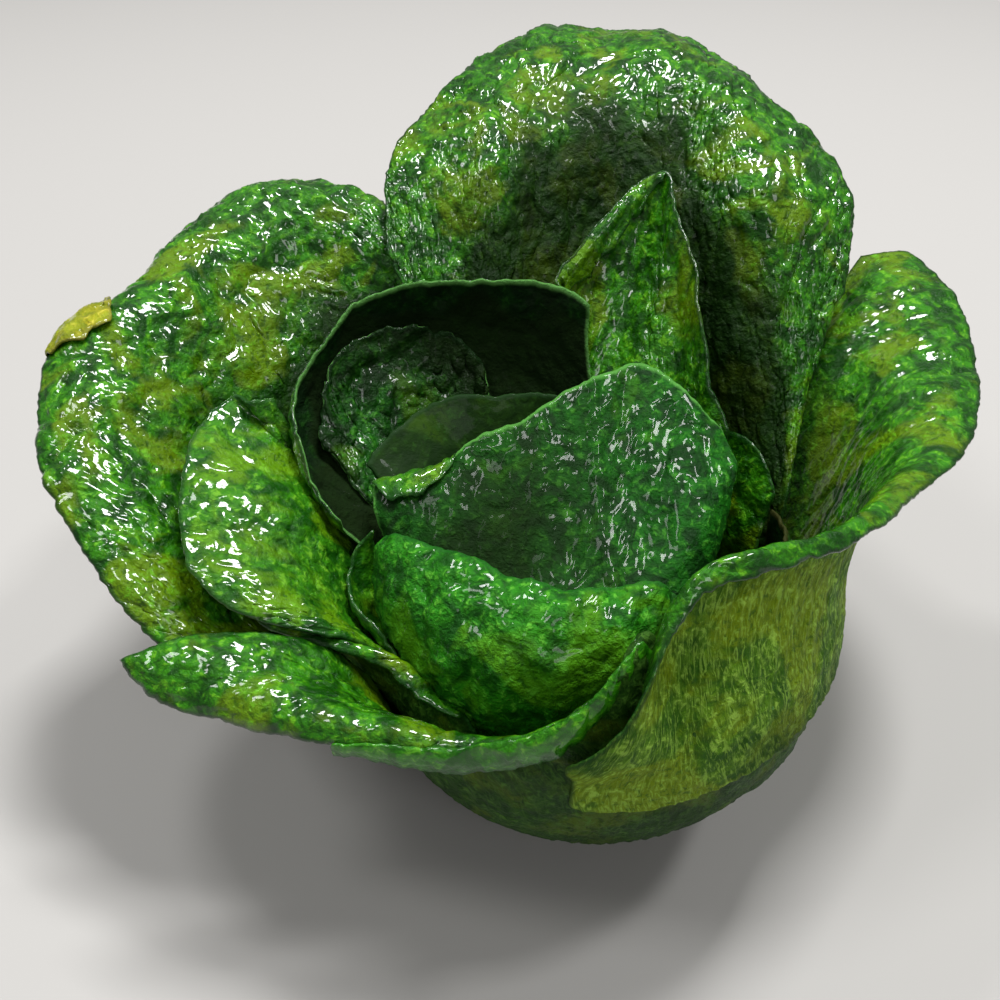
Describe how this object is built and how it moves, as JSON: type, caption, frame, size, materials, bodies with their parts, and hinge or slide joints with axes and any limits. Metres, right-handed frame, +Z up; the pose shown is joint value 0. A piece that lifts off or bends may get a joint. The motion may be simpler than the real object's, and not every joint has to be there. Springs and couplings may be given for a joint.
{
  "type": "decorative paper cabbage",
  "caption": "Life-size decorative cabbage of lacquered papier-mache leaves opening around a closed heart, on a flat foot disc.",
  "frame": {"origin": "middle of the foot disc's underside, on the floor", "axes": "+Z up, -Y to the front where the low leaf lies, +X to the right as seen from the front"},
  "size_m": [0.3075, 0.2861, 0.1982],
  "materials": {
    "leaf_green": "green lacquer over crumpled tissue paper, glossy",
    "leaf_dark": "dark green lacquer over crumpled tissue paper, glossy",
    "leaf_pale": "yellow-green lacquer over crumpled tissue paper, glossy",
    "scrap_yellow": "yellow lacquer over tissue paper, glossy",
    "card": "matte grey card",
    "glue": "dried glue, satin"
  },
  "bodies": {
    "root": {"base_disc": "card", "stem_core": "card", "glue_ring": "glue", "front_outer_leaf": "leaf_green", "right_outer_leaf": "leaf_green", "back_outer_leaf": "leaf_green", "left_outer_leaf": "leaf_green", "left_rim_tab": "scrap_yellow", "pale_left_leaf": "leaf_pale", "lower_left_leaf": "leaf_green", "right_inner_leaf": "leaf_dark", "small_right_leaf": "leaf_green", "hood_leaf": "leaf_dark", "hood_curl": "leaf_dark", "hood_lining": "leaf_dark", "pointed_leaf": "leaf_green", "heart_front_leaf": "leaf_green", "heart_lower_leaf": "leaf_green", "heart_left_leaf": "leaf_pale"}
  },
  "joints": []
}
